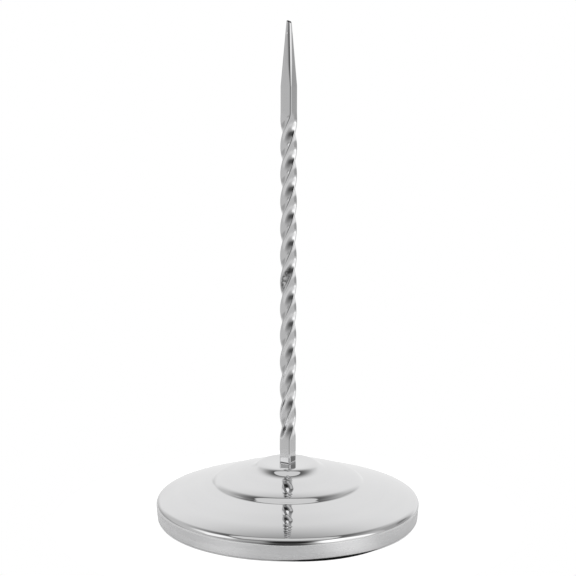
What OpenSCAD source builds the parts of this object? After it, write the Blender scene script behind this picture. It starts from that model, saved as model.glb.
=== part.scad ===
// Receipt holder: a round, stepped, polished steel base with a weight inside,
// and an upright square steel spike that is twisted between two straight ends and ground to a point.
// Sizes are millimetres. The base rests on z = 0 and the spike stands on the z axis.
// The base is a chain of arcs: each arc takes the surface from one tilt to the next,
// where a tilt of 0 degrees is level and 90 degrees is upright.

/* [Base] */
// Widest diameter of the base, at the rim
base_d = 85; // [82:0.5:100]
// Thickness of the pressed sheet
sheet_t = 0.6; // [0.4:0.05:0.7]
// Radius of the level plateau under the spike
plateau_r = 7.9; // [7.4:0.1:8.5]
// Radius of the rounded rim
rim_r = 2.1; // [1.6:0.1:2.8]
// Length of the straight skirt below the rim
skirt_l = 3.85; // [3:0.05:6]
// Inward lean of the skirt
skirt_draft = 5; // [0:0.5:8]
// Outside radius of the edge turned in under the skirt
hem_r = 0.9; // [0.8:0.05:1.1]
// Width of the level lip inside the turned edge
hem_w = 1; // [0.5:0.1:1.4]

/* [Steps] */
// Radius of the upper step's crest
step1_crest_r = 3.3; // [2.6:0.1:4]
// Steepest tilt of the upper step
step1_tilt = 42; // [38:1:46]
// Radius of the hollow at the foot of the upper step
step1_foot_r = 5; // [4:0.1:6]
// Tilt of the middle ring where it starts
tier2_tilt_in = 13; // [10:0.5:14]
// Width of the middle ring's even slope
tier2_slope_w = 7.5; // [6:0.1:8.5]
// Tilt of the middle ring where its slope ends and its crown starts
tier2_tilt_mid = 15; // [14.5:0.5:17]
// Radius of the middle ring's crown
tier2_crown_r = 23.7; // [18:0.1:28]
// Tilt of the middle ring where it ends
tier2_tilt_out = 22; // [19:0.5:24]
// Radius of the lower step's crest
step2_crest_r = 3.8; // [3:0.1:4.6]
// Steepest tilt of the lower step
step2_tilt = 51; // [46:1:56]
// Radius of the hollow at the foot of the lower step
step2_foot_r = 1.5; // [1:0.1:2]
// Tilt of the outer ring where it starts
tier3_tilt_in = 14; // [12:0.5:15]
// Width of the outer ring's even slope
tier3_slope_w = 10.6; // [8:0.2:12]
// Tilt of the outer ring where its slope ends and its crown starts
tier3_tilt_mid = 17; // [15.5:0.5:19]
// Tilt of the outer ring where it ends
tier3_tilt_out = 24.5; // [21:0.5:28]

/* [Spike] */
// Side of the square bar
bar_w = 4; // [3.8:0.1:5]
// Radius of the bar's long edges
bar_edge_r = 0.33; // [0.1:0.01:0.5]
// Length of the spike above the base
spike_l = 141.1; // [120:0.1:180]
// Length of the straight foot below the twist
spike_foot_l = 7.3; // [4:0.1:12]
// Length of the straight part between the twist and the point
spike_neck_l = 8; // [4:0.1:12]
// Length of the round point ground on the bar, from where it starts to cut the bar's edges
spike_point_l = 20.2; // [14:0.2:30]
// Diameter of the point at its blunt end
spike_tip_d = 1.56; // [1.2:0.02:2.4]
// Rounding around the blunt end
spike_tip_round = 0.2; // [0.1:0.05:0.3]
// Tilt of the blunt end, which falls to the right
spike_tip_tilt = 18; // [0:1:25]
// Whole turns in the twisted part
twist_turns = 3; // [1:1:5]
// Length over which the twist starts and stops
twist_ease_l = 2; // [1:0.1:6]
// Turn of the bar's straight faces from the front
bar_face_turn = -31.5; // [-45:0.5:45]

/* [Fixing] */
// Diameter of the threaded tail under the spike
thread_d = 3; // [2.5:0.1:3.2]
// Room around the tail in each hole
hole_room = 0.1; // [0.05:0.05:0.2]
// Width of the nut across its flats
nut_flats = 5.5; // [5:0.1:6.5]
// Height of the nut
nut_h = 2.4; // [2:0.1:3]
// Diameter of the flat washer
washer_d = 7; // [6.4:0.1:8]
// Thickness of the flat washer
washer_t = 0.5; // [0.4:0.05:1]
// Diameter of the split spring washer
spring_d = 6.2; // [5:0.1:6.4]
// Thickness of the split spring washer
spring_t = 0.8; // [0.6:0.05:1]
// Width of the split in the spring washer
spring_slit_w = 0.6; // [0.3:0.05:1]
// Length of tail that stands out below the nut
tail_proud_l = 0.7; // [0.3:0.1:1.5]

/* [Weight] */
// Room between the weight's side and the lip that it passes
weight_side_room = 0.8; // [0.4:0.1:3]
// Room between the weight's top and the inside of the base
weight_room = 0.4; // [0.2:0.05:0.8]
// Room around the flat washer in the weight's well
well_room = 1; // [0.5:0.1:2]
// Room between the end of the tail and the pad
tail_room = 0.6; // [0.3:0.1:1.5]
// Rounding of the weight's lower edge
weight_edge_r = 1; // [0.4:0.1:2]

/* [Pad] */
// Thickness of the foot pad
pad_t = 2; // [1.6:0.1:3]
// Distance the pad stands out below the base
pad_proud_h = 0.6; // [0.4:0.05:1]
// Room between the pad and the lip around it
pad_side_room = 1.4; // [0.6:0.1:4]
// Rounding of the pad's lower edge
pad_edge_r = 0.4; // [0.2:0.05:0.8]

/* [Hidden] */
$fn = 96;

// Largest change of tilt between two points of an arc
arc_step = 4;
// Points along each rounded edge and each flat of the bar
edge_parts = 2;
flat_parts = 4;
// Turn of the bar between two rings of the twist
ring_turn = 10;
// Rings along the point
point_parts = 14;
// Depth of the tail inside the bar
tail_root_l = 1;
// Chamfer at the tail's end
tail_chamfer = 0.4;
// Slope of the nut's corner chamfers
nut_chamfer_turn = 30;
// Extra length of a cutting shape past the face it cuts
cut_past = 1;

function total(v, i = 0) = i < len(v) ? v[i] + total(v, i + 1) : 0;
function arc_run(a) = a[0] * (sin(a[2]) - sin(a[1]));
function arc_drop(a) = a[0] * (cos(a[1]) - cos(a[2]));
function arc_r(run, tilt_in, tilt_out) = run / (sin(tilt_out) - sin(tilt_in));
function reversed(v) = [for (i = [len(v) - 1:-1:0]) v[i]];

// Arcs of the base from the plateau outwards: [radius, tilt in, tilt out];
// a hollow has a negative radius
step_arcs = [
    [step1_crest_r, 0, step1_tilt],
    [-step1_foot_r, step1_tilt, tier2_tilt_in],
    [arc_r(tier2_slope_w, tier2_tilt_in, tier2_tilt_mid), tier2_tilt_in, tier2_tilt_mid],
    [tier2_crown_r, tier2_tilt_mid, tier2_tilt_out],
    [step2_crest_r, tier2_tilt_out, step2_tilt],
    [-step2_foot_r, step2_tilt, tier3_tilt_in],
    [arc_r(tier3_slope_w, tier3_tilt_in, tier3_tilt_mid), tier3_tilt_in, tier3_tilt_mid]
];
rim_run = rim_r * (1 - sin(tier3_tilt_out));
tier3_crown_w = base_d / 2 - plateau_r - rim_run - total([for (a = step_arcs) arc_run(a)]);
skirt_tilt = 90 + skirt_draft;
dome_arcs = concat(step_arcs, [
    [arc_r(tier3_crown_w, tier3_tilt_mid, tier3_tilt_out), tier3_tilt_mid, tier3_tilt_out],
    [rim_r, tier3_tilt_out, skirt_tilt]
]);
hem_arc = [hem_r, skirt_tilt, 180];

// Heights of the base
skirt_end_z = pad_proud_h + arc_drop(hem_arc);
skirt_top_z = skirt_end_z + skirt_l * cos(skirt_draft);
plateau_z = skirt_top_z + total([for (a = dome_arcs) arc_drop(a)]);
seat_z = plateau_z - sheet_t;
skirt_top_r = plateau_r + total([for (a = dome_arcs) arc_run(a)]);
skirt_end = [skirt_top_r - skirt_l * sin(skirt_draft), skirt_end_z];
lip_r = skirt_end[0] + arc_run(hem_arc) - hem_w;

// Start of arc i of the dome
function dome_start(i) = i == 0 ? [plateau_r, plateau_z]
    : dome_start(i - 1) + [arc_run(dome_arcs[i - 1]), -arc_drop(dome_arcs[i - 1])];

// Points after the start of an arc, moved inwards by d
function arc_points(a, start, d) =
    let (centre = start - a[0] * [sin(a[1]), cos(a[1])])
    let (parts = ceil(abs(a[2] - a[1]) / arc_step))
    [for (i = [1:parts])
        let (tilt = a[1] + (a[2] - a[1]) * i / parts)
        centre + (a[0] - d) * [sin(tilt), cos(tilt)]];

// The dome from the axis side to the top of the skirt, moved inwards by d
function dome_path(d, from_r) = concat(
    [[from_r, plateau_z - d], [plateau_r, plateau_z - d]],
    [for (i = [0:len(dome_arcs) - 1]) each arc_points(dome_arcs[i], dome_start(i), d)]
);

// The skirt and its turned edge, moved inwards by d
function hem_path(d) = concat(
    [skirt_end - d * [sin(skirt_tilt), cos(skirt_tilt)]],
    arc_points(hem_arc, skirt_end, d),
    [[lip_r, pad_proud_h + d]]
);

// What passes the lip
weight_r = lip_r - weight_side_room;
pad_r = lip_r - pad_side_room;

// The fixing under the base, from the pad upwards
tail_end_z = pad_t + tail_room;
nut_z = tail_end_z + tail_proud_l;
spring_z = nut_z + nut_h;
washer_z = spring_z + spring_t;
well_top_z = washer_z + washer_t;
hole_d = thread_d + 2 * hole_room;
well_d = washer_d + 2 * well_room;
boss_r = plateau_r - sheet_t - weight_room;

// Lengths along the spike
twist_l = spike_l - spike_foot_l - spike_neck_l - spike_point_l;
twist_rate = 360 * twist_turns / (twist_l - twist_ease_l);
twist_rings = ceil(360 * twist_turns / ring_turn);
point_z = spike_l - spike_point_l;
point_body_l = spike_point_l - spike_tip_round;
bar_reach = (bar_w / 2 - bar_edge_r) * sqrt(2) + bar_edge_r;
tip_reach = spike_tip_d / 2;

// Turn of the bar at a distance s into the twist
function twist_at(s) =
    s < twist_ease_l ? twist_rate * s * s / (2 * twist_ease_l)
    : s > twist_l - twist_ease_l
    ? 360 * twist_turns - twist_rate * (twist_l - s) * (twist_l - s) / (2 * twist_ease_l)
    : twist_rate * (s - twist_ease_l / 2);

// Distance from the axis to the ground surface at a distance s into the point
function point_reach(s) = bar_reach + (tip_reach - bar_reach) * s / spike_point_l;

// Rings of the spike from the plateau up: [height, turn, reach, tilt]
spike_rings = concat(
    [[0, 0, bar_reach, 0]],
    [for (i = [0:twist_rings])
        let (s = twist_l * i / twist_rings)
        [spike_foot_l + s, twist_at(s), bar_reach, 0]],
    [for (i = [0:point_parts - 1])
        let (s = point_body_l * i / point_parts)
        [point_z + s, 0, point_reach(s), 0]],
    [[spike_l - spike_tip_round, 0, point_reach(point_body_l), spike_tip_tilt]],
    [[spike_l, 0, tip_reach - spike_tip_round, spike_tip_tilt]]
);

// One quarter of the square bar's outline, a rounded edge and the flat after it
bar_core = bar_w / 2 - bar_edge_r;
bar_quarter = concat(
    [for (i = [0:edge_parts])
        let (turn = 90 * i / edge_parts)
        [bar_core + bar_edge_r * cos(turn), bar_core + bar_edge_r * sin(turn)]],
    [for (i = [1:flat_parts - 1]) [bar_core - 2 * bar_core * i / flat_parts, bar_w / 2]]
);
function turned(p, turn) = [p[0] * cos(turn) - p[1] * sin(turn), p[0] * sin(turn) + p[1] * cos(turn)];

// The bar's whole outline, anticlockwise, with what lies past the reach ground off
function bar_outline(reach, turn) = [for (quarter = [0:3]) each
    [for (p = bar_quarter) turned(p * min(1, reach / norm(p)), turn + 90 * quarter)]];

// Points of one ring of the spike; a tilted ring falls to the right from its leftmost point
function ring_points(ring) =
    let (outline = bar_outline(ring[2], ring[1] + bar_face_turn))
    let (left_x = min([for (p = outline) p[0]]))
    [for (p = outline) [p[0], p[1], plateau_z + ring[0] - (p[0] - left_x) * tan(ring[3])]];

module base_cover() {
    color([0.84, 0.85, 0.87])
        rotate_extrude()
            polygon(concat(
                dome_path(0, hole_d / 2),
                hem_path(0),
                reversed(hem_path(sheet_t)),
                reversed(dome_path(sheet_t, hole_d / 2))
            ));
}

module spike_bar() {
    around = 4 * len(bar_quarter);
    top = len(spike_rings) - 1;
    points = [for (ring = spike_rings) each ring_points(ring)];
    walls = [for (i = [0:top - 1]) each [for (j = [0:around - 1]) each
        let (a = i * around + j)
        let (b = i * around + (j + 1) % around)
        [[a, a + around, b], [b, a + around, b + around]]]];
    foot = [for (j = [0:around - 1]) j];
    tip = [for (j = [around - 1:-1:0]) top * around + j];
    polyhedron(points = points, faces = concat([foot, tip], walls));
}

module tail() {
    tail_l = plateau_z + tail_root_l - tail_end_z;
    translate([0, 0, tail_end_z + tail_chamfer])
        cylinder(d = thread_d, h = tail_l - tail_chamfer);
    translate([0, 0, tail_end_z])
        cylinder(d1 = thread_d - 2 * tail_chamfer, d2 = thread_d, h = tail_chamfer);
}

module spike() {
    color([0.72, 0.73, 0.75])
        union() {
            spike_bar();
            tail();
        }
}

module weight_body() {
    dome = dome_path(sheet_t + weight_room, 0);
    outer_r = dome[len(dome) - 1][0];
    intersection() {
        rotate_extrude()
            polygon(concat([[0, pad_t]], dome, [[outer_r, pad_t]]));
        rotate_extrude()
            polygon([
                [0, pad_t],
                [weight_r - weight_edge_r, pad_t],
                [weight_r, pad_t + weight_edge_r],
                [weight_r, plateau_z],
                [0, plateau_z]
            ]);
    }
    translate([0, 0, well_top_z])
        cylinder(r = boss_r, h = seat_z - well_top_z);
}

module ballast() {
    color([0.28, 0.28, 0.29])
        difference() {
            weight_body();
            translate([0, 0, pad_t - cut_past])
                cylinder(d = well_d, h = well_top_z - pad_t + cut_past);
            translate([0, 0, pad_t])
                cylinder(d = hole_d, h = seat_z - pad_t + cut_past);
        }
}

module flat_washer() {
    color([0.75, 0.76, 0.78])
        translate([0, 0, washer_z])
            difference() {
                cylinder(d = washer_d, h = washer_t);
                translate([0, 0, -cut_past])
                    cylinder(d = hole_d, h = washer_t + 2 * cut_past);
            }
}

module lock_washer() {
    color([0.6, 0.61, 0.63])
        translate([0, 0, spring_z])
            difference() {
                cylinder(d = spring_d, h = spring_t);
                translate([0, 0, -cut_past])
                    cylinder(d = hole_d, h = spring_t + 2 * cut_past);
                translate([0, -spring_slit_w / 2, -cut_past])
                    cube([spring_d, spring_slit_w, spring_t + 2 * cut_past]);
            }
}

module hex_nut() {
    corner_r = nut_flats / 2 / cos(30);
    chamfer_h = (corner_r - nut_flats / 2) * tan(nut_chamfer_turn);
    color([0.75, 0.76, 0.78])
        translate([0, 0, nut_z])
            difference() {
                intersection() {
                    linear_extrude(height = nut_h)
                        polygon([for (i = [0:5]) corner_r * [cos(60 * i), sin(60 * i)]]);
                    rotate_extrude()
                        polygon([
                            [0, 0],
                            [nut_flats / 2, 0],
                            [corner_r, chamfer_h],
                            [corner_r, nut_h - chamfer_h],
                            [nut_flats / 2, nut_h],
                            [0, nut_h]
                        ]);
                }
                translate([0, 0, -cut_past])
                    cylinder(d = thread_d, h = nut_h + 2 * cut_past);
            }
}

module foot_pad() {
    color([0.08, 0.08, 0.08])
        rotate_extrude()
            polygon([
                [0, 0],
                [pad_r - pad_edge_r, 0],
                [pad_r, pad_edge_r],
                [pad_r, pad_t],
                [0, pad_t]
            ]);
}

base_cover();
spike();
ballast();
flat_washer();
lock_washer();
hex_nut();
foot_pad();
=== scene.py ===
"""Studio look of a receipt holder: a twisted square steel spike on a round, stepped, polished base."""

import logging
import math
from dataclasses import dataclass, field
from enum import Enum

import bpy
from mathutils import Matrix, Vector


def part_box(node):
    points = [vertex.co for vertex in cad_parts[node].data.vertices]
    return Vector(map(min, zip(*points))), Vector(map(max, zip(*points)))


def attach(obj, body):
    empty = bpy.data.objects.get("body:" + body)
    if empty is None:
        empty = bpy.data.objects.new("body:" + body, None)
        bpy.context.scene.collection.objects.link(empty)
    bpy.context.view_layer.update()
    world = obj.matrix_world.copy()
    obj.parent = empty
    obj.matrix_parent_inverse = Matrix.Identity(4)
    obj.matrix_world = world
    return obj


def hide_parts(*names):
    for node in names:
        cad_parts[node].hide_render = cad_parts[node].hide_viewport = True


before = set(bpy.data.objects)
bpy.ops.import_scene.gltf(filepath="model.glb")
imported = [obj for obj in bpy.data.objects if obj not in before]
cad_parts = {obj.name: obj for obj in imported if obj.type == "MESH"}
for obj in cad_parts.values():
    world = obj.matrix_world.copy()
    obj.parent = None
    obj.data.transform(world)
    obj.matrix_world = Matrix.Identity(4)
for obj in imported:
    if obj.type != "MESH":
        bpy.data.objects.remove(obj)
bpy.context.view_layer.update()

LOG = logging.getLogger("receipt_holder")
MM = 0.001
ROOT_BODY = "root"
NUMBER = "NodeSocketFloat"
VECTOR = "NodeSocketVector"
NUMBER_RESULTS = ("LENGTH", "DISTANCE")

LENGTHS_UV = "lengths"
ALONG_STRETCH = 0.04
AROUND_STRETCH = 0.002
SMEAR_SCALE = 60.0
SMEAR_SPAN = (0.45, 0.75)
SPECK_SCALE = 260.0
SPECK_SPAN = (0.05, 0.12)
CLOUD_SPAN = (0.3, 0.7)
POLISH_SPAN = (0.2, 0.8)
TONE_SCALE_SHARE = 0.2
TONE_SPAN = (0.3, 0.7)
ARC_STEP = math.radians(3.0)
SEAT_DISH = 0.16 * MM
BAR_WIDTH = 4.0 * MM
EDGE_PARTS = 8
FLAT_PARTS = 14

Colour = tuple[float, float, float]
Point2 = tuple[float, float]
Ring = list[Vector]
Socket = bpy.types.NodeSocket


class Grain(Enum):
    """Way in which the fine lines of a finish run."""

    AROUND = "around the upright axis"
    ALONG = "along the bar"


class Nodes:
    """A node tree with short ways to add nodes and link sockets."""

    def __init__(self, tree: bpy.types.NodeTree) -> None:
        """Wrap a tree.

        Args:
            tree: The shader node tree that receives the nodes.
        """
        self.tree = tree

    def add(self, kind: str, **settings: object) -> bpy.types.Node:
        """Add one node.

        Args:
            kind: The node's type name.
            settings: Properties that are set on the node.

        Returns:
            The new node.
        """
        node = self.tree.nodes.new(kind)
        for name, value in settings.items():
            setattr(node, name, value)
        return node

    def feed(self, node: bpy.types.Node, **inputs: object) -> bpy.types.Node:
        """Set or link inputs of a node, named with underscores in place of blanks.

        Args:
            node: The node whose inputs are fed.
            inputs: A socket to link, or a plain value to set, for each input.

        Returns:
            The same node.
        """
        for name, value in inputs.items():
            self.plug(node.inputs[name.replace("_", " ")], value)
        return node

    def plug(self, target: Socket, value: object) -> None:
        """Link a socket to an input, or set the input to a plain value.

        Args:
            target: The input socket.
            value: An output socket or a plain value.
        """
        if isinstance(value, bpy.types.NodeSocket):
            self.tree.links.new(value, target)
        else:
            target.default_value = value

    def fill(self, node: bpy.types.Node, *values: object) -> bpy.types.Node:
        """Set or link the first inputs of a node, in their order.

        Args:
            node: The node whose inputs are fed.
            values: Sockets to link, or plain values to set.

        Returns:
            The same node.
        """
        for target, value in zip(node.inputs, values):
            self.plug(target, value)
        return node

    def math(self, operation: str, *values: object) -> Socket:
        """Add a math node.

        Args:
            operation: The node's operation.
            values: Sockets or numbers, in the order of the node's inputs.

        Returns:
            The result's socket.
        """
        return self.fill(self.add("ShaderNodeMath", operation=operation), *values).outputs[0]

    def vector_math(self, operation: str, *values: object) -> Socket:
        """Add a vector math node.

        Args:
            operation: The node's operation.
            values: Sockets or vectors, in the order of the node's inputs.

        Returns:
            The result's socket, a vector or a number as the operation gives.
        """
        node = self.fill(self.add("ShaderNodeVectorMath", operation=operation), *values)
        return node.outputs["Value" if operation in NUMBER_RESULTS else "Vector"]

    def split(self, vector: Socket) -> bpy.types.Node:
        """Node with the outputs X, Y and Z of a vector."""
        return self.fill(self.add("ShaderNodeSeparateXYZ"), vector)

    def place(self, kind: str = "Object") -> Socket:
        """Socket with the shaded point's coordinates of a kind."""
        return self.add("ShaderNodeTexCoord").outputs[kind]

    def lengths(self) -> Socket:
        """Socket with the distances around and along the bar."""
        return self.add("ShaderNodeUVMap", uv_map=LENGTHS_UV).outputs["UV"]

    def noise(self, **inputs: object) -> Socket:
        """Socket with the noise that the given inputs make."""
        return self.feed(self.add("ShaderNodeTexNoise", noise_dimensions="3D"), **inputs).outputs[0]

    def span(
        self,
        value: Socket,
        low: float | Socket,
        high: float | Socket,
        start: float,
        end: float,
        soft: bool = False,
    ) -> Socket:
        """Map a value from one span to another, held at both ends.

        Args:
            value: The socket that is mapped.
            low: Value that gives start.
            high: Value that gives end.
            start: Result at low.
            end: Result at high.
            soft: Whether the change eases in and out.

        Returns:
            The mapped value's socket.
        """
        kind = "SMOOTHSTEP" if soft else "LINEAR"
        node = self.add("ShaderNodeMapRange", interpolation_type=kind)
        return self.fill(node, value, low, high, start, end).outputs["Result"]


class Groups:
    """Shader node groups that several materials share, each built once."""

    @staticmethod
    def start(
        name: str, inputs: dict[str, str], outputs: dict[str, str]
    ) -> tuple[bpy.types.NodeTree, Nodes]:
        """Make an empty group with its sockets.

        Args:
            name: The group's name.
            inputs: Socket type for each input's name.
            outputs: Socket type for each output's name.

        Returns:
            The group and its node helper.
        """
        tree = bpy.data.node_groups.new(name, "ShaderNodeTree")
        for label, kind in inputs.items():
            tree.interface.new_socket(name=label, in_out="INPUT", socket_type=kind)
        for label, kind in outputs.items():
            tree.interface.new_socket(name=label, in_out="OUTPUT", socket_type=kind)
        return tree, Nodes(tree)

    @classmethod
    def fetch(cls, name: str) -> bpy.types.NodeTree:
        """Return the group of that name, built on first use.

        Args:
            name: A name of one of the builders of this class.

        Returns:
            The node group.
        """
        return bpy.data.node_groups.get(name) or getattr(cls, name)()

    @classmethod
    def place(cls, nodes: Nodes, name: str, **inputs: object) -> bpy.types.Node:
        """Place a group in a tree.

        Args:
            nodes: Helper of the tree that gets the group.
            name: The group's name.
            inputs: Values or sockets for its inputs.

        Returns:
            The group's node.
        """
        node = nodes.add("ShaderNodeGroup", node_tree=cls.fetch(name))
        return nodes.feed(node, **inputs)

    @classmethod
    def studio_panel(cls) -> bpy.types.NodeTree:
        """Mask of one soft-edged panel in the studio, by the angle over the object and to its side.

        Returns:
            The group, with output Mask.
        """
        labels = ["Over", "Side", "Centre Over", "Centre Side", "Half Over", "Half Side", "Square", "Soft"]
        tree, nodes = cls.start("studio_panel", dict.fromkeys(labels, NUMBER), {"Mask": NUMBER})
        given = nodes.add("NodeGroupInput").outputs
        parts = []
        for way in ("Over", "Side"):
            away = nodes.math("ABSOLUTE", nodes.math("SUBTRACT", given[way], given["Centre " + way]))
            share = nodes.math("DIVIDE", away, given["Half " + way])
            parts.append(nodes.math("POWER", share, given["Square"]))
        root = nodes.math("DIVIDE", 1.0, given["Square"])
        reach = nodes.math("POWER", nodes.math("ADD", *parts), root)
        inner = nodes.math("SUBTRACT", 1.0, given["Soft"])
        outer = nodes.math("ADD", 1.0, given["Soft"])
        mask = nodes.span(reach, inner, outer, 1.0, 0.0, soft=True)
        nodes.feed(nodes.add("NodeGroupOutput"), Mask=mask)
        return tree

    @classmethod
    def fine_lines(cls) -> bpy.types.NodeTree:
        """Fine parallel lines of a rolled, turned or brushed metal, and slow clouds in them.

        Returns:
            The group, with outputs Lines and Clouds, both about 0 to 1.
        """
        inputs = {"Vector": VECTOR, "Fine Scale": NUMBER, "Cloud Scale": NUMBER}
        tree, nodes = cls.start("fine_lines", inputs, {"Lines": NUMBER, "Clouds": NUMBER})
        given = nodes.add("NodeGroupInput").outputs
        place = given["Vector"]
        lines = nodes.noise(Vector=place, Scale=given["Fine Scale"], Detail=3.0, Roughness=0.6)
        clouds = nodes.noise(Vector=place, Scale=given["Cloud Scale"], Detail=2.0, Roughness=0.5)
        nodes.feed(nodes.add("NodeGroupOutput"), Lines=lines, Clouds=clouds)
        return tree

    @classmethod
    def handling_marks(cls) -> bpy.types.NodeTree:
        """Faint smears and specks that handling leaves on a polished surface.

        Returns:
            The group, with outputs Smears and Specks, both 0 to 1.
        """
        inputs = {"Vector": VECTOR, "Smear Scale": NUMBER, "Speck Scale": NUMBER}
        tree, nodes = cls.start("handling_marks", inputs, {"Smears": NUMBER, "Specks": NUMBER})
        given = nodes.add("NodeGroupInput").outputs
        place = given["Vector"]
        smears = nodes.noise(Vector=place, Scale=given["Smear Scale"], Detail=4.0, Distortion=0.6)
        specks = nodes.add("ShaderNodeTexVoronoi", feature="F1")
        nodes.feed(specks, Vector=place, Scale=given["Speck Scale"])
        nodes.feed(
            nodes.add("NodeGroupOutput"),
            Smears=nodes.span(smears, *SMEAR_SPAN, 0.0, 1.0, soft=True),
            Specks=nodes.span(specks.outputs["Distance"], *SPECK_SPAN, 1.0, 0.0, soft=True),
        )
        return tree

    @classmethod
    def cast_grain(cls) -> bpy.types.NodeTree:
        """Pebbled grain of a cast or moulded surface.

        Returns:
            The group, with outputs Height and Tone, both about 0 to 1.
        """
        inputs = {"Vector": VECTOR, "Grain Scale": NUMBER}
        tree, nodes = cls.start("cast_grain", inputs, {"Height": NUMBER, "Tone": NUMBER})
        given = nodes.add("NodeGroupInput").outputs
        pebbles = nodes.add("ShaderNodeTexVoronoi", feature="SMOOTH_F1")
        nodes.feed(pebbles, Vector=given["Vector"], Scale=given["Grain Scale"])
        tone_scale = nodes.math("MULTIPLY", given["Grain Scale"], TONE_SCALE_SHARE)
        tone = nodes.noise(Vector=given["Vector"], Scale=tone_scale, Detail=4.0)
        nodes.feed(nodes.add("NodeGroupOutput"), Height=pebbles.outputs["Distance"], Tone=tone)
        return tree


def start_material(name: str) -> tuple[bpy.types.Material, Nodes, bpy.types.Node]:
    """Make a material with one Principled shader.

    Args:
        name: The material's name.

    Returns:
        The material, its node helper and its Principled node.
    """
    material = bpy.data.materials.new(name)
    material.use_nodes = True
    nodes = Nodes(material.node_tree)
    return material, nodes, material.node_tree.nodes["Principled BSDF"]


def mix_colours(nodes: Nodes, share: Socket, first: Colour | Socket, second: Colour) -> Socket:
    """Mix two colours by a share.

    Args:
        nodes: Helper of the tree.
        share: Socket with 0 for the first colour and 1 for the second.
        first: Colour at 0, or a socket with it.
        second: Colour at 1.

    Returns:
        The mixed colour's socket.
    """
    node = nodes.add("ShaderNodeMix", data_type="RGBA")
    nodes.plug(node.inputs["Factor"], share)
    nodes.plug(node.inputs["A"], (*first, 1.0) if isinstance(first, tuple) else first)
    nodes.plug(node.inputs["B"], (*second, 1.0))
    return node.outputs["Result"]


@dataclass(frozen=True)
class GripMark:
    """Scuffed patch that a twisting tool left on one face, placed by the bar's lengths."""

    around: float
    along: float
    half_around: float
    half_along: float
    grain_scale: float
    dark: Colour
    roughness: float
    fade: Point2 = (0.7, 1.1)
    mottle: Point2 = (0.34, 0.58)

    def mask(self, nodes: Nodes) -> Socket:
        """Mottled mask of the patch, which fades out around its edge.

        Args:
            nodes: Helper of the material's tree.

        Returns:
            Socket with 1 where the face is scuffed and 0 elsewhere.
        """
        place = nodes.lengths()
        moved = nodes.vector_math("SUBTRACT", place, (self.around, self.along, 0.0))
        shaped = nodes.vector_math("MULTIPLY", moved, (1 / self.half_around, 1 / self.half_along, 0.0))
        inside = nodes.span(nodes.vector_math("LENGTH", shaped), *self.fade, 1.0, 0.0, soft=True)
        grain = nodes.noise(Vector=place, Scale=self.grain_scale, Detail=3.0, Roughness=0.6)
        mottled = nodes.span(grain, *self.mottle, 0.0, 1.0, soft=True)
        return nodes.math("MULTIPLY", inside, mottled)


@dataclass(frozen=True)
class RubbedEdges:
    """Long edges of a bar that slips have rubbed smooth, placed by the bar's lengths."""

    spacing: float
    width: float
    smooth: float
    soft: float = 0.1

    def factor(self, nodes: Nodes) -> Socket:
        """Factor of the roughness around the bar.

        Args:
            nodes: Helper of the material's tree.

        Returns:
            Socket with the smooth edges' factor on an edge and 1 on a face.
        """
        around = nodes.split(nodes.lengths()).outputs["X"]
        centre = self.width / 2 / self.spacing
        share = nodes.math("MULTIPLY_ADD", around, 1 / self.spacing, 0.5 - centre)
        away = nodes.math("ABSOLUTE", nodes.math("SUBTRACT", nodes.math("FRACT", share), 0.5))
        low, high = centre * (1 - self.soft), centre * (1 + self.soft)
        return nodes.span(away, low, high, self.smooth, 1.0, soft=True)


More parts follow.
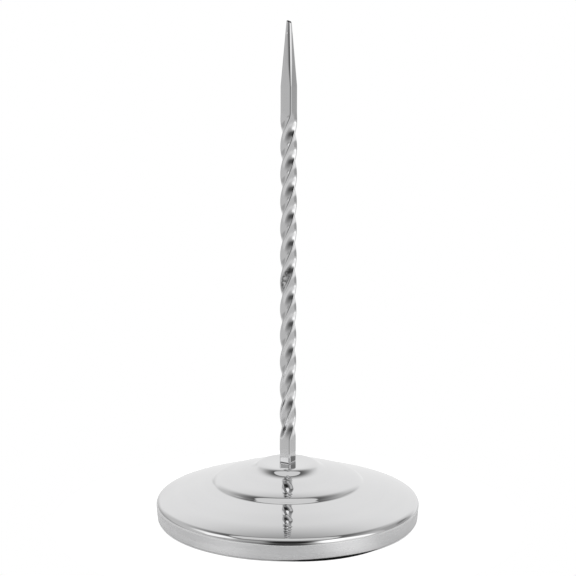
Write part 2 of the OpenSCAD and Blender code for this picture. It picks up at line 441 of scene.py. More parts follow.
@dataclass(frozen=True)
class SteelFinish:
    """Bare steel with fine lines, clouds in them, and faint handling marks."""

    name: str
    bright: Colour
    dull: Colour
    grain: Grain
    smooth: float
    rough: float
    line_scale: float
    line_depth: float
    cloud_scale: float
    smear_roughness: float
    mark: GripMark | None = None
    edges: RubbedEdges | None = None

    def grain_vector(self, nodes: Nodes) -> Socket:
        """Coordinates in metres, drawn out along the lines of the finish.

        Args:
            nodes: Helper of the material's tree.

        Returns:
            A vector that changes fast across the lines and slowly along them.
        """
        if self.grain is Grain.ALONG:
            return nodes.vector_math("MULTIPLY", nodes.lengths(), (1.0, ALONG_STRETCH, 0.0))
        place = nodes.place()
        flat = nodes.vector_math("MULTIPLY", place, (1.0, 1.0, 0.0))
        height = nodes.split(place).outputs["Z"]
        across = nodes.math("SUBTRACT", nodes.vector_math("LENGTH", flat), height)
        lifted = nodes.feed(nodes.add("ShaderNodeCombineXYZ"), Z=across)
        around = nodes.vector_math("NORMALIZE", flat)
        drawn = nodes.vector_math("MULTIPLY", around, (AROUND_STRETCH, AROUND_STRETCH, 0.0))
        return nodes.vector_math("ADD", drawn, lifted.outputs[0])

    def material(self) -> bpy.types.Material:
        """Build the material.

        Returns:
            The finished material.
        """
        material, nodes, shader = start_material(self.name)
        vector = self.grain_vector(nodes)
        lines = Groups.place(
            nodes, "fine_lines", Vector=vector, Fine_Scale=self.line_scale, Cloud_Scale=self.cloud_scale
        )
        marks = Groups.place(
            nodes, "handling_marks", Vector=nodes.place(), Smear_Scale=SMEAR_SCALE, Speck_Scale=SPECK_SCALE
        )
        clouds = nodes.span(lines.outputs["Clouds"], *CLOUD_SPAN, 0.0, 1.0)
        polish = nodes.math("MULTIPLY", nodes.math("ADD", clouds, lines.outputs["Lines"]), 0.5)
        rough = nodes.span(polish, *POLISH_SPAN, self.smooth, self.rough)
        smeared = nodes.math("MULTIPLY", marks.outputs["Smears"], self.smear_roughness)
        speckled = nodes.math("MULTIPLY", marks.outputs["Specks"], self.smear_roughness)
        rough = nodes.math("ADD", rough, nodes.math("ADD", smeared, speckled))
        colour = mix_colours(nodes, polish, self.bright, self.dull)
        if self.edges:
            rough = nodes.math("MULTIPLY", rough, self.edges.factor(nodes))
        if self.mark:
            scuffed = self.mark.mask(nodes)
            colour = mix_colours(nodes, scuffed, colour, self.mark.dark)
            rough = nodes.math("MULTIPLY_ADD", scuffed, self.mark.roughness, rough)
        bump = nodes.add("ShaderNodeBump")
        nodes.feed(bump, Strength=1.0, Distance=self.line_depth, Height=lines.outputs["Lines"])
        nodes.feed(
            shader,
            Base_Color=colour,
            Metallic=1.0,
            Roughness=rough,
            Normal=bump.outputs["Normal"],
        )
        return material


@dataclass(frozen=True)
class GrainFinish:
    """A matte surface with a pebbled grain, such as cast iron or rubber."""

    name: str
    light: Colour
    dark: Colour
    metallic: float
    roughness: float
    grain_scale: float
    grain_depth: float
    roughness_spread: float = 0.08

    def material(self) -> bpy.types.Material:
        """Build the material.

        Returns:
            The finished material.
        """
        material, nodes, shader = start_material(self.name)
        grain = Groups.place(nodes, "cast_grain", Vector=nodes.place(), Grain_Scale=self.grain_scale)
        bump = nodes.add("ShaderNodeBump")
        nodes.feed(bump, Strength=1.0, Distance=self.grain_depth, Height=grain.outputs["Height"])
        low, high = self.roughness - self.roughness_spread, self.roughness + self.roughness_spread
        nodes.feed(
            shader,
            Base_Color=mix_colours(nodes, grain.outputs["Tone"], self.dark, self.light),
            Metallic=self.metallic,
            Roughness=nodes.span(grain.outputs["Tone"], *TONE_SPAN, low, high),
            Normal=bump.outputs["Normal"],
        )
        return material


POLISHED_COVER = SteelFinish(
    name="polished_cover",
    bright=(0.80, 0.80, 0.805),
    dull=(0.76, 0.76, 0.765),
    grain=Grain.AROUND,
    smooth=0.015,
    rough=0.04,
    line_scale=2600.0,
    line_depth=0.0002 * MM,
    cloud_scale=160.0,
    smear_roughness=0.015,
)
BRUSHED_SKIRT = SteelFinish(
    name="brushed_skirt",
    bright=(0.80, 0.80, 0.805),
    dull=(0.68, 0.68, 0.685),
    grain=Grain.AROUND,
    smooth=0.2,
    rough=0.32,
    line_scale=3200.0,
    line_depth=0.004 * MM,
    cloud_scale=420.0,
    smear_roughness=0.05,
)
DRAWN_BAR = SteelFinish(
    name="drawn_bar",
    bright=(0.78, 0.78, 0.785),
    dull=(0.70, 0.70, 0.705),
    grain=Grain.ALONG,
    smooth=0.07,
    rough=0.14,
    line_scale=3000.0,
    line_depth=0.0015 * MM,
    cloud_scale=300.0,
    smear_roughness=0.04,
    mark=GripMark(
        around=2.73 * MM,
        along=79.0 * MM,
        half_around=1.2 * MM,
        half_along=4.8 * MM,
        grain_scale=850.0,
        dark=(0.2, 0.2, 0.2),
        roughness=0.15,
    ),
    edges=RubbedEdges(
        spacing=BAR_WIDTH,
        width=BAR_WIDTH * EDGE_PARTS / (EDGE_PARTS + FLAT_PARTS),
        smooth=0.3,
    ),
)
SHEARED_END = SteelFinish(
    name="sheared_end",
    bright=(0.16, 0.16, 0.162),
    dull=(0.09, 0.09, 0.092),
    grain=Grain.AROUND,
    smooth=0.3,
    rough=0.5,
    line_scale=2800.0,
    line_depth=0.006 * MM,
    cloud_scale=600.0,
    smear_roughness=0.06,
)
PLATED_FIXING = SteelFinish(
    name="plated_fixing",
    bright=(0.74, 0.75, 0.77),
    dull=(0.62, 0.63, 0.65),
    grain=Grain.AROUND,
    smooth=0.18,
    rough=0.34,
    line_scale=2400.0,
    line_depth=0.003 * MM,
    cloud_scale=500.0,
    smear_roughness=0.06,
)
SPRING_STEEL = SteelFinish(
    name="spring_steel",
    bright=(0.46, 0.46, 0.48),
    dull=(0.32, 0.32, 0.34),
    grain=Grain.AROUND,
    smooth=0.24,
    rough=0.42,
    line_scale=2200.0,
    line_depth=0.004 * MM,
    cloud_scale=500.0,
    smear_roughness=0.08,
)
CAST_WEIGHT = GrainFinish(
    name="cast_weight",
    light=(0.10, 0.10, 0.10),
    dark=(0.05, 0.05, 0.052),
    metallic=0.6,
    roughness=0.62,
    grain_scale=900.0,
    grain_depth=0.12 * MM,
)
RUBBER_PAD = GrainFinish(
    name="rubber_pad",
    light=(0.022, 0.022, 0.022),
    dark=(0.012, 0.012, 0.012),
    metallic=0.0,
    roughness=0.78,
    grain_scale=1500.0,
    grain_depth=0.06 * MM,
)


def link_mesh(name: str, points: list[Vector], faces: list[tuple[int, ...]]) -> bpy.types.Object:
    """Make a smooth mesh object in the scene.

    Args:
        name: The piece's name.
        points: Vertices in metres.
        faces: Vertex numbers of each face.

    Returns:
        The new object.
    """
    mesh = bpy.data.meshes.new(name)
    mesh.from_pydata([tuple(point) for point in points], [], faces)
    mesh.validate()
    mesh.shade_smooth()
    piece = bpy.data.objects.new(name, mesh)
    bpy.context.scene.collection.objects.link(piece)
    return piece


def stand_for(piece: bpy.types.Object, node: str) -> None:
    """Let a piece ride on the body and stand for a node of the frame.

    Args:
        piece: The new piece.
        node: Name of the node that it replaces.
    """
    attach(piece, ROOT_BODY)
    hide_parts(node)
    LOG.info("piece %s stands for node %s", piece.name, node)


@dataclass(frozen=True)
class Arc:
    """One arc of a turned profile, from one tilt to the next; a hollow has a negative radius."""

    radius: float
    tilt_in: float
    tilt_out: float

    @classmethod
    def across(cls, width: float, tilt_in: float, tilt_out: float) -> "Arc":
        """Arc that covers a given distance outwards.

        Args:
            width: Distance outwards.
            tilt_in: Tilt at its start in degrees.
            tilt_out: Tilt at its end in degrees.

        Returns:
            The arc.
        """
        sines = math.sin(math.radians(tilt_out)) - math.sin(math.radians(tilt_in))
        return cls(width / sines, tilt_in, tilt_out)

    def run(self) -> float:
        """Distance outwards that the arc covers."""
        tilt_in, tilt_out = math.radians(self.tilt_in), math.radians(self.tilt_out)
        return self.radius * (math.sin(tilt_out) - math.sin(tilt_in))

    def drop(self) -> float:
        """Distance downwards that the arc covers."""
        tilt_in, tilt_out = math.radians(self.tilt_in), math.radians(self.tilt_out)
        return self.radius * (math.cos(tilt_in) - math.cos(tilt_out))

    def end(self, start: Point2) -> Point2:
        """Point where the arc ends if it starts at a point."""
        return start[0] + self.run(), start[1] - self.drop()

    def points(self, start: Point2, inset: float, spacing: float) -> list[Point2]:
        """Points after the start of the arc, moved inwards.

        Args:
            start: Start of the arc before it is moved.
            inset: Distance that the points are moved inwards.
            spacing: Largest distance between two points.

        Returns:
            Points as distance from the axis and height.
        """
        swept = math.radians(abs(self.tilt_out - self.tilt_in))
        parts = max(math.ceil(swept * abs(self.radius) / spacing), math.ceil(swept / ARC_STEP))
        tilt_in = math.radians(self.tilt_in)
        centre = (start[0] - self.radius * math.sin(tilt_in), start[1] - self.radius * math.cos(tilt_in))
        found = []
        for part in range(1, parts + 1):
            tilt = math.radians(self.tilt_in + (self.tilt_out - self.tilt_in) * part / parts)
            reach = self.radius - inset
            found.append((centre[0] + reach * math.sin(tilt), centre[1] + reach * math.cos(tilt)))
        return found


@dataclass
class BaseCover:
    """Pressed steel cover of the base: a turned shell of tangent arcs with an edge turned in below."""

    node: str = "base_cover"
    sheet: float = 0.6 * MM
    hole_radius: float = 1.6 * MM
    plateau_radius: float = 7.9 * MM
    dish: float = SEAT_DISH
    rim_radius: float = 2.1 * MM
    skirt_length: float = 4.1 * MM
    skirt_draft: float = 5.0
    hem_radius: float = 0.9 * MM
    hem_width: float = 1.0 * MM
    crown_tilt_in: float = 17.0
    crown_tilt_out: float = 24.5
    spacing: float = 0.25 * MM
    inner_spacing: float = 1.2 * MM
    segments: int = 240
    steps: list[Arc] = field(
        default_factory=lambda: [
            Arc(3.3 * MM, 0.0, 42.0),
            Arc(-6.2 * MM, 42.0, 13.0),
            Arc.across(7.0 * MM, 13.0, 15.0),
            Arc(23.7 * MM, 15.0, 22.0),
            Arc(3.8 * MM, 22.0, 51.0),
            Arc(-1.5 * MM, 51.0, 14.0),
            Arc.across(10.6 * MM, 14.0, 17.0),
        ]
    )

    def __post_init__(self) -> None:
        """Work out the outer ring's crown and the heights from the frame's box."""
        low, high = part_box(self.node)
        base_radius = (high.x - low.x) / 2
        self.plateau_z = high.z
        rim_run = self.rim_radius * (1 - math.sin(math.radians(self.crown_tilt_out)))
        crown_width = base_radius - self.plateau_radius - rim_run - sum(arc.run() for arc in self.steps)
        self.skirt_tilt = 90.0 + self.skirt_draft
        self.dome = [
            *self.steps,
            Arc.across(crown_width, self.crown_tilt_in, self.crown_tilt_out),
            Arc(self.rim_radius, self.crown_tilt_out, self.skirt_tilt),
        ]

    def path(self, inset: float, spacing: float) -> list[Point2]:
        """Profile from the hole in the plateau to the lip, moved inwards.

        Args:
            inset: Distance from the outer face.
            spacing: Largest distance between points.

        Returns:
            Points as distance from the axis and height.
        """
        width = self.plateau_radius - self.hole_radius
        rings = math.ceil(width / spacing)
        level = self.plateau_z - inset
        dip = self.dish * (1 - inset / self.sheet)
        found = []
        for ring in range(rings + 1):
            share = ring / rings
            found.append((self.hole_radius + width * share, level - dip * (1 - share)))
        corner = (self.plateau_radius, self.plateau_z)
        for arc in self.dome:
            found += arc.points(corner, inset, spacing)
            corner = arc.end(corner)
        draft = math.radians(self.skirt_draft)
        foot = (
            corner[0] - self.skirt_length * math.sin(draft),
            corner[1] - self.skirt_length * math.cos(draft),
        )
        moved = (-inset * math.cos(draft), inset * math.sin(draft))
        parts = math.ceil(self.skirt_length / spacing)
        for part in range(1, parts + 1):
            share = part / parts
            x = corner[0] + (foot[0] - corner[0]) * share + moved[0]
            z = corner[1] + (foot[1] - corner[1]) * share + moved[1]
            found.append((x, z))
        hem = Arc(self.hem_radius, self.skirt_tilt, 180.0)
        found += hem.points(foot, inset, spacing)
        return found + [(hem.end(foot)[0] - self.hem_width, found[-1][1])]

    def build(self) -> bpy.types.Object:
        """Turn the closed profile around the axis and dress it.

        Returns:
            The cover's object.
        """
        outer = self.path(0.0, self.spacing)
        profile = outer + list(reversed(self.path(self.sheet, self.inner_spacing)))
        points, faces = [], []
        for turn in range(self.segments):
            angle = 2 * math.pi * turn / self.segments
            points += [Vector((r * math.cos(angle), r * math.sin(angle), z)) for r, z in profile]
        count = len(profile)
        for turn in range(self.segments):
            here, there = turn * count, (turn + 1) % self.segments * count
            for step in range(count):
                after = (step + 1) % count
                faces.append((here + step, here + after, there + after, there + step))
        piece = link_mesh(self.node + "_shell", points, faces)
        self.dress(piece, len(outer), count)
        stand_for(piece, self.node)
        return piece

    def dress(self, piece: bpy.types.Object, outer_count: int, count: int) -> None:
        """Give the dome a polished finish and the skirt a brushed one.

        Args:
            piece: The cover's object.
            outer_count: Number of points on the profile's outer face.
            count: Number of points on the whole profile.
        """
        piece.data.materials.append(POLISHED_COVER.material())
        piece.data.materials.append(BRUSHED_SKIRT.material())
        rim_z = self.plateau_z - sum(arc.drop() for arc in self.dome)
        for face in piece.data.polygons:
            face.material_index = int(face.center.z < rim_z)
        corners = {0, outer_count - 1, outer_count, count - 1}
        for edge in piece.data.edges:
            first, second = (number % count for number in edge.vertices)
            edge.use_edge_sharp = first == second and first in corners


@dataclass
class Spike:
    """Square bar with a straight foot, a twist, a straight neck, a ground point and a threaded tail."""

    node: str = "spike"
    bar: float = BAR_WIDTH
    edge_radius: float = 0.5 * MM
    point_edge_radius: float = 1.15 * MM
    ground_share: float = 0.25
    foot_length: float = 7.3 * MM
    neck_length: float = 8.0 * MM
    point_length: float = 20.2 * MM
    tip_radius: float = 0.78 * MM
    tip_round: float = 0.3 * MM
    tip_tilt: float = 18.0
    tip_parts: int = 4
    turns: int = 3
    twist_ease: float = 2.0 * MM
    face_turn: float = -31.5
    thread_radius: float = 1.5 * MM
    thread_pitch: float = 0.5 * MM
    thread_depth: float = 0.27 * MM
    thread_parts: int = 8
    tail_chamfer: float = 0.4 * MM
    spacing: float = 0.4 * MM
    edge_parts: int = EDGE_PARTS
    flat_parts: int = FLAT_PARTS

    def __post_init__(self) -> None:
        """Take the spike's heights from the frame's boxes."""
        self.shoulder_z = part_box("base_cover")[1].z
        low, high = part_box(self.node)
        self.tail_z = low.z
        self.length = high.z - self.shoulder_z
        self.twist_length = self.length - self.foot_length - self.neck_length - self.point_length
        self.twist_rate = 360.0 * self.turns / (self.twist_length - self.twist_ease)
        self.corner_reach = (self.bar / 2 - self.edge_radius) * math.sqrt(2) + self.edge_radius

    def turn_at(self, along: float) -> float:
        """Turn of the bar in degrees at a distance above the shoulder.

        Args:
            along: Distance above the shoulder.

        Returns:
            The turn, which eases in and out at the ends of the twist.
        """
        into = min(max(along - self.foot_length, 0.0), self.twist_length)
        left = self.twist_length - into
        if into < self.twist_ease:
            return self.twist_rate * into**2 / (2 * self.twist_ease)
        if left < self.twist_ease:
            return 360.0 * self.turns - self.twist_rate * left**2 / (2 * self.twist_ease)
        return self.twist_rate * (into - self.twist_ease / 2)

    def reach_at(self, along: float) -> float:
        """Distance from the axis that the edges keep.

        Args:
            along: Distance above the shoulder.

        Returns:
            The reach, which shrinks along the point.
        """
        share = max(along - (self.length - self.point_length), 0.0) / self.point_length
        return self.corner_reach + (self.tip_radius - self.corner_reach) * share

    def outline(self, reach: float, turn: float) -> list[Point2]:
        """Rounded square outline, anticlockwise, with edges that grow rounder as it starts to shrink.

        Args:
            reach: Distance of the edges from the axis.
            turn: Turn of the square in degrees.

        Returns:
            Points around the axis.
        """
        ground = min((self.corner_reach - reach) / (self.corner_reach * self.ground_share), 1.0)
        rounding = self.edge_radius + (self.point_edge_radius - self.edge_radius) * ground
        rounding = min(rounding, reach)
        core = (reach - rounding) / math.sqrt(2)
        quarter = []
        for part in range(self.edge_parts + 1):
            angle = math.pi / 2 * part / self.edge_parts
            quarter.append((core + rounding * math.cos(angle), core + rounding * math.sin(angle)))
        for part in range(1, self.flat_parts):
            quarter.append((core - 2 * core * part / self.flat_parts, core + rounding))
        found = []
        for corner in range(4):
            angle = math.radians(turn + 90.0 * corner)
            cosine, sine = math.cos(angle), math.sin(angle)
            found += [(x * cosine - y * sine, x * sine + y * cosine) for x, y in quarter]
        return found

    def bar_ring(self, along: float, reach: float, tilt: float = 0.0) -> Ring:
        """One ring of the bar.

        Args:
            along: Distance above the shoulder.
            reach: Largest distance from the axis.
            tilt: Tilt of the ring in degrees, falling to the right from its leftmost point.

        Returns:
            Points of the ring.
        """
        flat = self.outline(reach, self.face_turn + self.turn_at(along))
        left = min(x for x, _ in flat)
        fall = math.tan(math.radians(tilt))
        return [Vector((x, y, self.shoulder_z + along - (x - left) * fall)) for x, y in flat]

    def tail_ring(self, height: float, shrink: float) -> Ring:
        """One ring of the threaded tail.

        Args:
            height: Height of the ring.
            shrink: Distance that the ring lies inside the thread's form.

        Returns:
            Points of the ring.
        """
        count = 4 * (self.edge_parts + self.flat_parts)
        ring = []
        for number in range(count):
            angle = math.radians(self.face_turn + 45.0) + 2 * math.pi * number / count
            phase = (height / self.thread_pitch - number / count) % 1.0
            groove = self.thread_depth * (1 - abs(2 * phase - 1))
            reach = min(self.thread_radius - groove, self.thread_radius - shrink)
            ring.append(Vector((reach * math.cos(angle), reach * math.sin(angle), height)))
        return ring

    def rings(self) -> list[Ring]:
        """Rings of the whole spike from the tail's end to the tip.

        Returns:
            Rings of equal point count.
        """
        step = self.thread_pitch / self.thread_parts
        top = self.shoulder_z - SEAT_DISH
        steps = math.ceil((top - self.tail_z) / step)
        found = []
        for height in [*(self.tail_z + step * number for number in range(steps)), top]:
            found.append(self.tail_ring(height, max(0.0, self.tail_chamfer - (height - self.tail_z))))
        body = self.length - self.tip_round
        parts = math.ceil(body / self.spacing)
        for part in range(parts + 1):
            along = body * part / parts if part else -SEAT_DISH
            tilt = self.tip_tilt if part == parts else 0.0
            found.append(self.bar_ring(along, self.reach_at(along), tilt))
        for part in range(1, self.tip_parts + 1):
            angle = math.pi / 2 * part / self.tip_parts
            along = body + self.tip_round * math.sin(angle)
            reach = self.tip_radius - self.tip_round * (1 - math.cos(angle))
            found.append(self.bar_ring(along, reach, self.tip_tilt))
        return found

    def build(self) -> bpy.types.Object:
        """Loft the rings into one closed bar and dress it.

        Returns:
            The spike's object.
        """
        rings = self.rings()
        count = len(rings[0])
        points = [point for ring in rings for point in ring]
        faces: list[tuple[int, ...]] = [tuple(reversed(range(count)))]
        for level in range(len(rings) - 1):
            here, above = level * count, (level + 1) * count
            for number in range(count):
                after = (number + 1) % count
                faces.append((here + number, here + after, above + after, above + number))
        last = (len(rings) - 1) * count
        faces.append(tuple(range(last, last + count)))
        piece = link_mesh(self.node + "_bar", points, faces)
        self.map_lengths(piece, count)
        self.dress(piece, last - self.tip_parts * count)
        stand_for(piece, self.node)
        return piece

    def dress(self, piece: bpy.types.Object, end_first: int) -> None:
        """Give the bar a drawn finish and its blunt end a dark, cut one.

        Args:
            piece: The spike's object.
            end_first: Number of the first point of the blunt end.
        """
        piece.data.materials.append(DRAWN_BAR.material())
        piece.data.materials.append(SHEARED_END.material())
        for face in piece.data.polygons:
            face.material_index = int(min(face.vertices) >= end_first)

    def map_lengths(self, piece: bpy.types.Object, count: int) -> None:
        """Store the distance around and along the bar as a UV map in metres.

        Args:
            piece: The spike's object.
            count: Number of points in a ring.
        """
        layer = piece.data.uv_layers.new(name=LENGTHS_UV)
        girth = 4 * self.bar
        for face in piece.data.polygons:
            numbers = [piece.data.loops[loop].vertex_index % count for loop in face.loop_indices]
            wraps = max(numbers) - min(numbers) > 1
            for loop, number in zip(face.loop_indices, numbers):
                around = count if wraps and number == 0 else number
                height = piece.data.vertices[piece.data.loops[loop].vertex_index].co.z
                layer.data[loop].uv = (girth * around / count, height)


@dataclass
class Underside:
    """Weight, fixing and foot pad, which keep the shapes of the frame and get their finishes here."""

    finishes: dict[str, SteelFinish | GrainFinish] = field(
        default_factory=lambda: {
            "ballast": CAST_WEIGHT,
            "flat_washer": PLATED_FIXING,
            "lock_washer": SPRING_STEEL,
            "hex_nut": PLATED_FIXING,
            "foot_pad": RUBBER_PAD,
        }
    )

    def dress(self) -> None:
        """Give each piece its material, with like pieces sharing one."""
        made: dict[str, bpy.types.Material] = {}
        for node, finish in self.finishes.items():
            if finish.name not in made:
                made[finish.name] = finish.material()
            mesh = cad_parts[node].data
            mesh.materials.clear()
            mesh.materials.append(made[finish.name])
            LOG.info("node %s keeps its shape, finish %s", node, finish.name)


@dataclass(frozen=True)
class Panel:
    """One soft-edged part of the studio, by its angles over the object and to its side in degrees.

    An angle over the object of 0 is the level behind it, 90 is straight up and 180 is the level in front.
    A square of 2 makes an ellipse, and a higher one comes nearer to a rectangle.
    """

    over: float
    side: float
    half_over: float
    half_side: float
    square: float
    soft: float
    light: float


@dataclass(frozen=True)
class FloorSpot:
    """A round spot on the floor with a soft edge, where the floor gets painted shade or painted light."""

    x: float
    y: float
    radius: float
    soft: float

    def mask(self, nodes: Nodes, place: Socket) -> Socket:
        """Mask of the spot.

        Args:
            nodes: Helper of the floor's tree.
            place: Place on the floor.

        Returns:
            Socket with 1 inside the spot and 0 outside.
        """
        reach = nodes.vector_math("DISTANCE", place, (self.x, self.y, 0.0))
        low, high = self.radius - self.soft, self.radius + self.soft
        return nodes.span(reach, low, high, 1.0, 0.0, soft=True)


@dataclass
class Studio:
    """White room with light and dark panels for the steel, a pale floor, a low dark card and the camera."""

    camera_place: Vector = field(default_factory=lambda: Vector((-0.09 * MM, -548.0 * MM, 184.4 * MM)))
    camera_pitch: float = 11.189
    camera_roll: float = 0.175
    lens: float = 110.14
    sensor: float = 36.0
    floor_radius: float = 76.0 * MM
    floor_parts: int = 128
    floor_gap: float = 0.02 * MM
    floor_pale: Colour = (0.86, 0.86, 0.86)
    # Colour of the painted contact shadow on the floor.
    floor_painted_shadow: Colour = (0.03, 0.03, 0.03)
    # Painted shadow under the base's edge: a ring that takes the floor's glow away so its real shade shows,
    # and an off-centre disc painted dark.
    painted_shadow_ring: FloorSpot = FloorSpot(x=0.0, y=-0.3 * MM, radius=41.4 * MM, soft=0.3 * MM)
    painted_contact_shadow: FloorSpot = FloorSpot(x=3.4 * MM, y=-9.4 * MM, radius=32.3 * MM, soft=0.25 * MM)
    # Painted pools of light on the floor, seen only in the steel's reflection.
    right_painted_light_pool: FloorSpot = FloorSpot(x=27.0 * MM, y=-44.0 * MM, radius=10.0 * MM, soft=9.0 * MM)
    left_painted_light_pool: FloorSpot = FloorSpot(x=-25.0 * MM, y=-42.0 * MM, radius=9.0 * MM, soft=8.0 * MM)
    room_light: float = 0.610
    floor_glow: float = 0.75
    floor_shine: float = 0.22
    right_shine: float = 0.3
    left_shine: float = 0.14
    # Share of the floor's glow that the painted shadow ring takes away.
    shadow_ring_depth: float = 0.7
    matte: float = 0.9
    card_dark: Colour = (0.02, 0.02, 0.02)
    card_core: float = 6.0 * MM
    card_half_width: float = 17.0 * MM
    card_height: float = 5.2 * MM
    card_lean: float = 7.5 * MM
    card_y: float = -57.0 * MM
    panels: list[Panel] = field(
        default_factory=lambda: [
            Panel(over=101.8, side=-2.0, half_over=38.0, half_side=45.6, square=2.5, soft=0.60, light=0.05),
            Panel(over=36.4, side=74.7, half_over=54.7, half_side=25.6, square=4.0, soft=0.20, light=0.42),
            Panel(over=32.0, side=60.0, half_over=11.0, half_side=9.0, square=3.0, soft=0.40, light=0.24),
            Panel(over=106.6, side=-57.6, half_over=26.4, half_side=9.8, square=3.0, soft=0.58, light=1.04),
            Panel(over=-28.3, side=1.4, half_over=88.0, half_side=44.0, square=3.0, soft=0.24, light=0.90),
            Panel(over=-9.9, side=-58.8, half_over=18.3, half_side=33.2, square=3.0, soft=0.73, light=0.42),
            Panel(over=136.0, side=-60.0, half_over=12.0, half_side=9.0, square=4.0, soft=0.15, light=1.10),
            Panel(over=160.0, side=-63.0, half_over=11.0, half_side=12.0, square=4.0, soft=0.20, light=0.42),
            Panel(over=106.0, side=-1.5, half_over=29.5, half_side=31.0, square=2.0, soft=0.05, light=0.76),
            Panel(over=122.0, side=-51.0, half_over=21.0, half_side=12.5, square=3.0, soft=0.35, light=1.18),
            Panel(over=178.2, side=-11.0, half_over=21.0, half_side=32.0, square=3.0, soft=0.95, light=0.20),
            Panel(over=151.0, side=50.0, half_over=28.0, half_side=26.0, square=3.0, soft=0.25, light=1.40),
            Panel(over=125.0, side=0.0, half_over=8.0, half_side=31.0, square=4.0, soft=0.15, light=0.28),
            Panel(over=168.0, side=0.0, half_over=20.0, half_side=14.0, square=3.0, soft=0.60, light=0.09),
            Panel(over=147.0, side=2.0, half_over=17.0, half_side=18.0, square=3.0, soft=0.35, light=0.02),
            Panel(over=211.8, side=10.2, half_over=8.0, half_side=50.0, square=3.0, soft=0.30, light=0.74),
            Panel(over=192.9, side=56.9, half_over=32.0, half_side=12.0, square=3.0, soft=0.95, light=0.80),
        ]
    )

    def place_camera(self) -> None:
        """Set the camera at the photograph's viewing angle."""
        data = bpy.data.cameras.new("camera")
        data.lens = self.lens
        data.sensor_width = self.sensor
        camera = bpy.data.objects.new("camera", data)
        bpy.context.scene.collection.objects.link(camera)
        aim = Matrix.Rotation(math.radians(90.0 - self.camera_pitch), 4, "X")
        roll = Matrix.Rotation(math.radians(self.camera_roll), 4, "Z")
        camera.matrix_world = Matrix.Translation(self.camera_place) @ aim @ roll
        bpy.context.scene.camera = camera

    def light_room(self) -> None:
        """Light the object from a world that is white to the camera and holds the panels for the steel."""
        world = bpy.data.worlds.new("studio")
        bpy.context.scene.world = world
        world.use_nodes = True
        nodes = Nodes(world.node_tree)
        way = nodes.split(nodes.place("Generated")).outputs
        turned = nodes.math("DEGREES", nodes.math("ARCTAN2", way["Z"], way["Y"]))
        lifted = nodes.math("FLOORED_MODULO", nodes.math("ADD", turned, 90.0), 360.0)
        over = nodes.math("SUBTRACT", lifted, 90.0)
        side = nodes.math("DEGREES", nodes.math("ARCSINE", way["X"]))
        light: float | Socket = self.room_light
        for panel in self.panels:
            mask = Groups.place(
                nodes,
                "studio_panel",
                Over=over,
                Side=side,
                Centre_Over=panel.over,
                Centre_Side=panel.side,
                Half_Over=panel.half_over,
                Half_Side=panel.half_side,
                Square=panel.square,
                Soft=panel.soft,
            )
            mix = nodes.add("ShaderNodeMix", data_type="FLOAT")
            nodes.feed(mix, Factor=mask.outputs["Mask"], A=light, B=panel.light)
            light = mix.outputs["Result"]
        seen = nodes.add("ShaderNodeLightPath").outputs["Is Camera Ray"]
        white = nodes.add("ShaderNodeMix", data_type="FLOAT")
        nodes.feed(white, Factor=seen, A=light, B=1.0)
        nodes.plug(world.node_tree.nodes["Background"].inputs["Color"], white.outputs["Result"])

    def floor_material(self) -> bpy.types.Material:
        """Pale floor, white to the camera, darkened under the base by a painted shadow ring and a painted
        contact shadow, lit in two painted pools of light that only the steel mirrors, and clear from below.

        Returns:
            The floor's material.
        """
        material, nodes, shader = start_material("pale_floor")
        place = nodes.place()
        # Masks of the painted shadow ring, the painted contact shadow and the two painted pools of light.
        spots = (self.painted_shadow_ring, self.painted_contact_shadow, self.right_painted_light_pool, self.left_painted_light_pool)
        ring, painted_contact_shadow, right, left = (spot.mask(nodes, place) for spot in spots)
        path = nodes.add("ShaderNodeLightPath").outputs
        seen = nodes.math("MULTIPLY", path["Is Camera Ray"], self.floor_glow)
        # Painted light: the two pools add glow that only glossy rays see.
        painted_light_pools = nodes.math("MULTIPLY_ADD", left, self.left_shine, self.floor_shine)
        painted_light_pools = nodes.math("MULTIPLY_ADD", right, self.right_shine, painted_light_pools)
        shine = nodes.math("MULTIPLY", path["Is Glossy Ray"], painted_light_pools)
        # Painted shade: the floor's glow is taken away in the shadow ring and the contact disc.
        painted_shade = nodes.math("MAXIMUM", nodes.math("MULTIPLY", ring, self.shadow_ring_depth), painted_contact_shadow)
        outside_painted_shade = nodes.math("SUBTRACT", 1.0, painted_shade)
        below = nodes.add("ShaderNodeNewGeometry").outputs["Backfacing"]
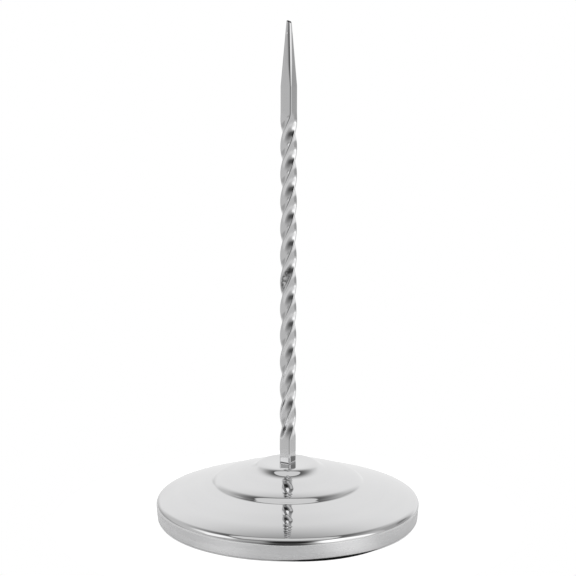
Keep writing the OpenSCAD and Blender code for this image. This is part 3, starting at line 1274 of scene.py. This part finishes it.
        # The base colour is painted dark inside the contact disc as a painted shadow.
        nodes.feed(
            shader,
            Base_Color=mix_colours(nodes, painted_contact_shadow, self.floor_pale, self.floor_painted_shadow),
            Roughness=self.matte,
            Specular_IOR_Level=0.0,
            Emission_Color=(1.0, 1.0, 1.0, 1.0),
            Emission_Strength=nodes.math("MULTIPLY", outside_painted_shade, nodes.math("ADD", seen, shine)),
            Alpha=nodes.math("SUBTRACT", 1.0, below),
        )
        return material

    def lay_floor(self) -> None:
        """Lay a round pale floor that is white to the camera and keeps the object's shadow, with a painted
        contact shadow and painted pools of light.
        """
        points = [Vector((0.0, 0.0, 0.0))]
        for number in range(self.floor_parts):
            angle = 2 * math.pi * number / self.floor_parts
            points.append(self.floor_radius * Vector((math.cos(angle), math.sin(angle), 0.0)))
        faces = [(0, number + 1, (number + 1) % self.floor_parts + 1) for number in range(self.floor_parts)]
        floor = link_mesh("floor", points, faces)
        floor.location.z = -self.floor_gap
        floor.data.materials.append(self.floor_material())

    def lean_card(self) -> None:
        """Lean a low dark card in front, edge-on to the bar, that the rim mirrors as a black line."""
        points = []
        for x, z in ((-1, 0), (1, 0), (1, 1), (-1, 1)):
            place = (x * self.card_half_width, self.card_y + z * self.card_lean, z * self.card_height)
            points.append(Vector(place))
        card = link_mesh("low_card", points, [(0, 1, 2, 3)])
        material, nodes, shader = start_material("dark_card")
        aside = nodes.math("ABSOLUTE", nodes.split(nodes.place()).outputs["X"])
        kept = nodes.span(aside, self.card_core, self.card_half_width, 1.0, 0.0, soft=True)
        nodes.feed(
            shader,
            Base_Color=(*self.card_dark, 1.0),
            Roughness=self.matte,
            Specular_IOR_Level=0.0,
            Alpha=kept,
        )
        card.data.materials.append(material)
        card.visible_camera = card.visible_diffuse = card.visible_shadow = False

    def build(self) -> None:
        """Set the view, the light, the floor and the card."""
        bpy.context.scene.view_settings.view_transform = "Standard"
        self.place_camera()
        self.light_room()
        self.lay_floor()
        self.lean_card()


def main() -> None:
    """Build the studio, then the holder from its base to its spike."""
    logging.basicConfig(level=logging.INFO)
    Studio().build()
    BaseCover().build()
    Spike().build()
    Underside().dress()


if __name__ == "__main__":
    main()
